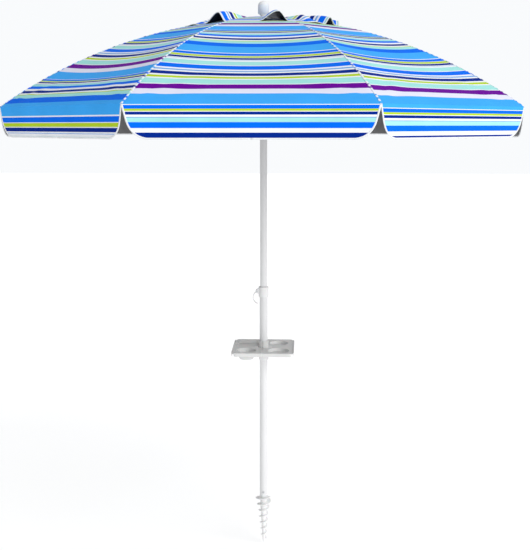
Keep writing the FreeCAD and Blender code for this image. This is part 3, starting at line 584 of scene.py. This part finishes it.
def puff(number, apothem, across):
    """Height of the puffs in the cap towards its edge."""
    gore = gore_of(number, across)
    # Place across the gore: 0 in its middle, -1 at the rib before it and 1 at the rib after it.
    place = (1 - abs(across)) * (-1 if across > 0 else 1)
    total = 0.0
    orbit = apothem / COS_HALF
    for centre, right, left, height, at_edge in CAP_PUFFS[gore]:
        off = (place - centre) / right if place > centre else (centre - place) / left
        closing = 1 - (1 - at_edge) * smooth((orbit - PUFF_CLOSES_FROM) / PUFF_CLOSES_OVER)
        if off < 1:
            total += height * closing * (0.5 + 0.5 * math.cos(math.pi * off)) ** PUFF_ROUNDNESS
    return total * smooth((orbit - PUFF_START) / PUFF_COMES)


def cap_spot(number, orbit, across):
    """Point of the vent cap beside a rib that lies along +X; across runs from -1 to 1."""
    apothem = orbit * COS_HALF
    side, reach = (-1 if across < 0 else 1), abs(across)
    flat = Vector((orbit, 0)).lerp(Vector((apothem * COS_HALF, apothem * SIN_HALF)), reach)
    return Vector((flat.x, side * flat.y, cap_height(orbit) + puff(number, apothem, across)))


def cap_part(number, name, body, inner, outer, rows):
    """Part of the vent cap's cloth at one rib, between two distances from the pole."""
    def spot(out, across):
        return cap_spot(number, inner + (outer - inner) * out, 2 * across - 1)

    def mapped(out, across, middle):
        orbit = inner + (outer - inner) * out
        side = -1 if middle < 0.5 else 1
        width = orbit * SIN_HALF * (1 - abs(2 * across - 1))
        return width, orbit - CAP_ORBIT + CAP_PHASES[gore_of(number, side)]

    surface = grid(rows, CAP_COLUMNS, spot, mapped)
    bmesh.ops.reverse_faces(surface, faces=surface.faces[:])
    sharpen_rim(surface)
    bmesh.ops.transform(surface, matrix=turn_about_pole(rib_azimuth(number)), verts=surface.verts)
    # Its inside is near black, painted shade under the cap.
    obj = piece(name, surface, (CLOTH, CAP_INSIDE_PAINTED_SHADE), body)
    thicken(obj, CLOTH_THICKNESS)
    return obj


def vent_cap(number):
    """Vent cap at one rib: its crown under the finial, its flap over the vent and the flap's hem."""
    turn = turn_about_pole(rib_azimuth(number))
    rib = f"rib_{number}"
    crown = cap_part(number, f"vent_cap_crown_{number}", None, CAP_HOLE, CAP_BEND, CAP_CROWN_ROWS)
    inner, outer = (tuple(turn @ Vector((orbit, 0, CAP_HEIGHT))) for orbit in (CROWN_HELD, CROWN_FREE))
    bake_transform(crown)
    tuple(inner)
    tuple(outer)
    flap = cap_part(number, f"vent_cap_flap_{number}", rib, CAP_BEND, CAP_ORBIT, CAP_FLAP_ROWS)
    places = [-1 + 2 * step / CAP_HEM_STEPS for step in range(CAP_HEM_STEPS + 1)]
    edge = [cap_spot(number, CAP_ORBIT, across) for across in places]
    inward = [cap_spot(number, CAP_ORBIT - HEM_WIDTH, across) for across in places]
    hem = tape(f"vent_cap_hem_{number}", edge, inward, turn, rib)
    for cloth in (flap, hem):
        gather(cloth)
    return [crown, flap, hem]


# ---------------------------------------------------------------- tapes

TAPE_THICKNESS = 0.0022
TAPE_FOLD = 0.45
TAPE_EDGE = 0.75
TAPE_SIDES = 5

# Place in the tape's map of each corner of its section, and of the first corner again.
TAPE_AROUND = (0.0, 0.004, 0.006, 0.008, 0.012, 0.016)

SEAM_HALF_WIDTH = 0.0036
SEAM_THICKNESS = 0.0006
SEAM_STEPS = 90

# Corners of the seam's section: share of its half width, and height above the cloth's line.
SEAM_SECTION = ((-1.0, -0.0004), (-0.8, 0.0008), (0.0, 0.0013), (0.8, 0.0008), (1.0, -0.0004))


def tape(name, edge, inward, turn, body):
    """Folded tape over a cloth's edge: edge and inward are matching points of its two sides."""
    surface = bmesh.new()
    layer = surface.loops.layers.uv.new("cloth")
    rings, distances = [], [0.0]
    for step, (outer, inner) in enumerate(zip(edge, inward)):
        before, after = edge[max(step - 1, 0)], edge[min(step + 1, len(edge) - 1)]
        along = (after - before).normalized()
        across = inner - outer
        width = across.length
        across = (across - along * across.dot(along)).normalized() * width
        normal = along.cross(across).normalized() * TAPE_THICKNESS / 2
        fold = -across.normalized() * TAPE_THICKNESS * TAPE_FOLD
        section = [outer + across + normal * TAPE_EDGE, outer + normal, outer + fold, outer - normal,
                   outer + across - normal * TAPE_EDGE]
        rings.append([surface.verts.new(point) for point in section])
        if step:
            distances.append(distances[-1] + (outer - edge[step - 1]).length)
    for step in range(len(rings) - 1):
        for side in range(TAPE_SIDES):
            following = (side + 1) % TAPE_SIDES
            corners = [(step, side), (step + 1, side), (step + 1, following), (step, following)]
            face = surface.faces.new([rings[a][b] for a, b in corners])
            face.smooth = True
            for loop, (a, b) in zip(face.loops, corners):
                loop[layer].uv = (distances[a], TAPE_AROUND[side + (1 if b != side else 0)])
    surface.faces.new(rings[0])
    surface.faces.new(rings[-1][::-1])
    bmesh.ops.recalc_face_normals(surface, faces=surface.faces[:])
    bmesh.ops.transform(surface, matrix=turn, verts=surface.verts)
    return piece(name, surface, (TAPE,), body)


def rib_seam(number):
    """Felled seam that stands a little proud along a rib, over the main cloth."""
    turn = turn_about_pole(rib_azimuth(number))
    phase = GORE_PHASES[gore_of(number, -1)]
    surface = bmesh.new()
    layer = surface.loops.layers.uv.new("cloth")
    rings, lengths = [], []
    for step in range(SEAM_STEPS + 1):
        orbit = RIM_ORBIT + (VENT_ORBIT - RIM_ORBIT) * step / SEAM_STEPS
        height = bow_height(orbit, CLOTH_LIFT)
        rings.append([surface.verts.new((orbit, across * SEAM_HALF_WIDTH, height + rise))
                      for across, rise in SEAM_SECTION])
        lengths.append(cloth_length(orbit * COS_HALF))
    for step in range(SEAM_STEPS):
        for side in range(len(SEAM_SECTION) - 1):
            corners = [(step, side), (step, side + 1), (step + 1, side + 1), (step + 1, side)]
            face = surface.faces.new([rings[a][b] for a, b in corners])
            face.smooth = True
            for loop, (a, b) in zip(face.loops, corners):
                loop[layer].uv = (SEAM_SECTION[b][0] * SEAM_HALF_WIDTH, lengths[a] + phase)
    bmesh.ops.transform(surface, matrix=turn, verts=surface.verts)
    obj = piece(f"rib_seam_{number}", surface, (SEAM, SEAM), f"rib_{number}")
    return thicken(obj, SEAM_THICKNESS)


# ---------------------------------------------------------------- valance

CORNER_TOP = 0.003

# Curve that rounds a flap's corner: how far back from the rib, and the share of the drop.
CORNER_CURVE = ((0.014, 0.45), (0.027, 0.95), (0.074, 1.0))
HALVINGS = 24

# Depth of the hanging cloth's waves, radians of them for each metre along it, and shift between gores.
WAVE_DEPTH = 0.007
SHORT_WAVE, LONG_WAVE = 23, 9
WAVE_SHIFT = 1.7
ROWS_BUNCHED = 1.7
FLAP_ROWS = 30
FLAP_COLUMNS = 40
HEM_SIDE_STEPS = 24
HEM_BOTTOM_STEPS = 30


def corner_cut(down):
    """How far a flap's end stands back from the rib at a depth below the rim."""
    curve_start, straight = CORNER_CURVE[0][0], CORNER_CURVE[0][1] * VALANCE_DROP
    if down <= straight:
        return CORNER_TOP + (curve_start - CORNER_TOP) * down / straight
    low, high = 0.0, 1.0
    for _ in range(HALVINGS):
        middle = (low + high) / 2
        depth = sum(w * p[1] for w, p in zip(quadratic(middle), CORNER_CURVE)) * VALANCE_DROP
        low, high = (middle, high) if depth < down else (low, middle)
    return sum(w * p[0] for w, p in zip(quadratic(low), CORNER_CURVE))


def quadratic(share):
    """Weights of a quadratic curve's three points."""
    return (1 - share) ** 2, 2 * share * (1 - share), share ** 2


def valance_wave(along, down, gore):
    """How far the hanging cloth waves inwards."""
    hang = smooth(down / VALANCE_DROP)
    short, long = along * SHORT_WAVE + WAVE_SHIFT * gore, along * LONG_WAVE - gore
    wave = 0.5 + 0.5 * math.sin(short) * math.cos(long)
    return WAVE_DEPTH * hang * wave


def valance_spot(number, side, down, across):
    """Point of a half flap: across is 0 at the gore's middle and 1 at the corner's cut."""
    half_width = RIM_APOTHEM * TAN_HALF
    cut = corner_cut(down * VALANCE_DROP)
    along = (half_width - cut) * across
    depth = down * VALANCE_DROP
    apothem = RIM_APOTHEM - 0.0006 - valance_wave(side * along, depth, gore_of(number, side))
    height = bow_height(RIM_ORBIT, CLOTH_LIFT) - depth
    local = Vector((apothem, -side * along, height))
    return turn_about_pole(side * HALF_GORE) @ local


def half_flap(number, side):
    """Half of a hanging flap beside a rib, with the tape along its cut and its lower edge."""
    name = f"{number}_{'left' if side < 0 else 'right'}"
    turn = turn_about_pole(rib_azimuth(number))
    phase = VALANCE_PHASES[gore_of(number, side)]

    def spot(down, across):
        return valance_spot(number, side, bottom_heavy(down), across)

    def mapped(down, across, _):
        return across * RIM_APOTHEM * TAN_HALF, phase - bottom_heavy(down) * VALANCE_DROP

    surface = grid(FLAP_ROWS, FLAP_COLUMNS, spot, mapped)
    if side < 0:
        bmesh.ops.reverse_faces(surface, faces=surface.faces[:])
    sharpen_rim(surface)
    bmesh.ops.transform(surface, matrix=turn, verts=surface.verts)
    body = f"valance_{number}"
    flap = piece(f"valance_cloth_{name}", surface, (CLOTH, CLOTH_INSIDE), body)
    thicken(flap, CLOTH_THICKNESS)

    edge = [spot(step / HEM_SIDE_STEPS, 1) for step in range(HEM_SIDE_STEPS)]
    edge += [spot(1, 1 - step / HEM_BOTTOM_STEPS) for step in range(HEM_BOTTOM_STEPS + 1)]
    inward = hem_inside(edge, turn_about_pole(side * HALF_GORE) @ Vector((1, 0, 0)), side)
    hem = tape(f"valance_hem_{name}", edge, inward, turn, body)
    for cloth in (flap, hem):
        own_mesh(cloth)
    return flap, hem


def bottom_heavy(share):
    """Rows closer together towards the bottom, where the corner curves."""
    return 1 - (1 - share) ** ROWS_BUNCHED


def hem_inside(edge, outward, side):
    """Points a tape's width inside an edge that lies in the flap's plane."""
    points = []
    for step, spot in enumerate(edge):
        before, after = edge[max(step - 1, 0)], edge[min(step + 1, len(edge) - 1)]
        along = (after - before).normalized()
        inside = along.cross(outward).normalized() * side
        points.append(spot + inside * HEM_WIDTH)
    return points


# ---------------------------------------------------------------- finial

# Heights and radii of the finial's foot and flare, below its straight side.
FINIAL_FOOT = ((0.0, 0.006), (0.0, 0.0118), (0.0042, 0.0122), (0.0062, 0.0150), (0.0084, 0.0166))
FINIAL_SIDE = 0.011
FINIAL_DOME = 0.0185
FINIAL_DOME_STEPS = 12
FINIAL_AROUND = 64
FINIAL_POLE = 0.0001


def finial():
    """Domed cap on the pole's top, turned from a profile of heights and radii."""
    low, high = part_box("finial")
    base, top, reach = low[2], high[2], (high[0] - low[0]) / 2
    shoulder = top - base - FINIAL_DOME
    profile = list(FINIAL_FOOT) + [(FINIAL_SIDE, reach), (shoulder, reach)]
    for step in range(1, FINIAL_DOME_STEPS + 1):
        angle = math.pi / 2 * step / FINIAL_DOME_STEPS
        radius = max(reach * math.cos(angle), FINIAL_POLE)
        profile.append((shoulder + FINIAL_DOME * math.sin(angle), radius))
    surface = bmesh.new()
    rings = []
    for height, radius in profile:
        rings.append([surface.verts.new((radius * math.cos(a), radius * math.sin(a), base + height))
                      for a in (2 * math.pi * i / FINIAL_AROUND for i in range(FINIAL_AROUND))])
    for low_ring, high_ring in zip(rings, rings[1:]):
        for i in range(FINIAL_AROUND):
            j = (i + 1) % FINIAL_AROUND
            face = surface.faces.new((low_ring[i], low_ring[j], high_ring[j], high_ring[i]))
            face.smooth = True
    surface.faces.new(rings[-1])
    surface.faces.new(rings[0][::-1])
    obj = piece("finial_dome", surface, (FINISHES["white_plastic"],), "top_pole")
    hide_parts("finial")


# ---------------------------------------------------------------- stage

FLOOR_REACH = 30

# The studio's light: its tint, the direction it is brightest from, its least and most, and how
# bright the background itself looks.
SKY_TINT = (0.97, 0.985, 1.0, 1)
GLOW_FROM = (0.77, -0.50, 0.40)
GLOW_LEAST, GLOW_MOST = 0.12, 0.88
BACKGROUND_SEEN = 0.98

# Name, direction it comes from, softness in degrees and strength: all large and far away.
LAMPS = (
    ("key", (0.80, -0.60, 0.60), 45, 1.15),
    ("front", (0.45, -1.00, 0.16), 35, 0.42),
    ("back", (-0.30, 0.85, 0.60), 60, 0.30),
)


def stage():
    """White floor, studio light and lamps."""
    floor = bmesh.new()
    bmesh.ops.create_grid(floor, x_segments=1, y_segments=1, size=FLOOR_REACH)
    mesh = bpy.data.meshes.new("floor")
    floor.to_mesh(mesh)
    floor.free()
    mesh.materials.append(floor_finish())
    obj = bpy.data.objects.new("floor", mesh)
    bpy.context.scene.collection.objects.link(obj)

    bpy.context.scene.world = studio_light()
    for name, source, softness, energy in LAMPS:
        light = bpy.data.lights.new(name, "SUN")
        light.angle = math.radians(softness)
        light.energy = energy
        lamp = bpy.data.objects.new(name, light)
        lamp.rotation_euler = Vector(source).to_track_quat("Z", "Y").to_euler()
        bpy.context.scene.collection.objects.link(lamp)


def studio_light():
    """Light from all round, brighter from the front right, in front of an even white background."""
    world = bpy.data.worlds.new("studio")
    world.use_nodes = True
    tree = world.node_tree
    background = tree.nodes["Background"]
    background.inputs["Color"].default_value = SKY_TINT
    direction = tree.nodes.new("ShaderNodeTexCoord")
    facing = tree.nodes.new("ShaderNodeVectorMath")
    facing.operation = "DOT_PRODUCT"
    facing.inputs[1].default_value = GLOW_FROM
    tree.links.new(direction.outputs["Generated"], facing.inputs[0])
    glow = tree.nodes.new("ShaderNodeMapRange")
    tree.links.new(facing.outputs["Value"], glow.inputs["Value"])
    span = {"From Min": -1.0, "From Max": 1.0, "To Min": GLOW_LEAST, "To Max": GLOW_MOST}
    for name, value in span.items():
        glow.inputs[name].default_value = value
    sight = tree.nodes.new("ShaderNodeLightPath")
    strength = tree.nodes.new("ShaderNodeMapRange")
    tree.links.new(sight.outputs["Is Camera Ray"], strength.inputs["Value"])
    tree.links.new(glow.outputs["Result"], strength.inputs["To Min"])
    strength.inputs["To Max"].default_value = BACKGROUND_SEEN
    tree.links.new(strength.outputs["Result"], background.inputs["Strength"])
    return world


CAMERA_DISTANCE = 3.616
CAMERA_HEIGHT = 1.735
CAMERA_AZIMUTH = math.radians(2.37)
CAMERA_TILT = math.radians(9.286)
CAMERA_PAN = math.radians(0.09)
CAMERA_LENS = 59.85
CAMERA_SENSOR = 36
CAMERA_FAR_CLIP = 100


def camera():
    """Standing eye height, a few metres in front, looking a little down."""
    lens = bpy.data.cameras.new("camera")
    lens.lens = CAMERA_LENS
    lens.sensor_width = CAMERA_SENSOR
    lens.clip_end = CAMERA_FAR_CLIP
    obj = bpy.data.objects.new("camera", lens)
    obj.location = (CAMERA_DISTANCE * math.sin(CAMERA_AZIMUTH),
                    -CAMERA_DISTANCE * math.cos(CAMERA_AZIMUTH), CAMERA_HEIGHT)
    obj.rotation_euler = (math.pi / 2 - CAMERA_TILT, 0, CAMERA_AZIMUTH - CAMERA_PAN)
    bpy.context.scene.collection.objects.link(obj)
    bpy.context.scene.camera = obj


# ---------------------------------------------------------------- everything

camera()
stage()
finish_frame()
finial()
for number in range(1, RIBS + 1):
    for cloth in [main_canopy(number), rib_seam(number)] + vent_cap(number):
        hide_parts(f"canopy_{number}")
    for side in (-1, 1):
        for cloth in half_flap(number, side):
            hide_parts(f"valance_{number}")

bpy.context.scene.view_settings.view_transform = "Standard"
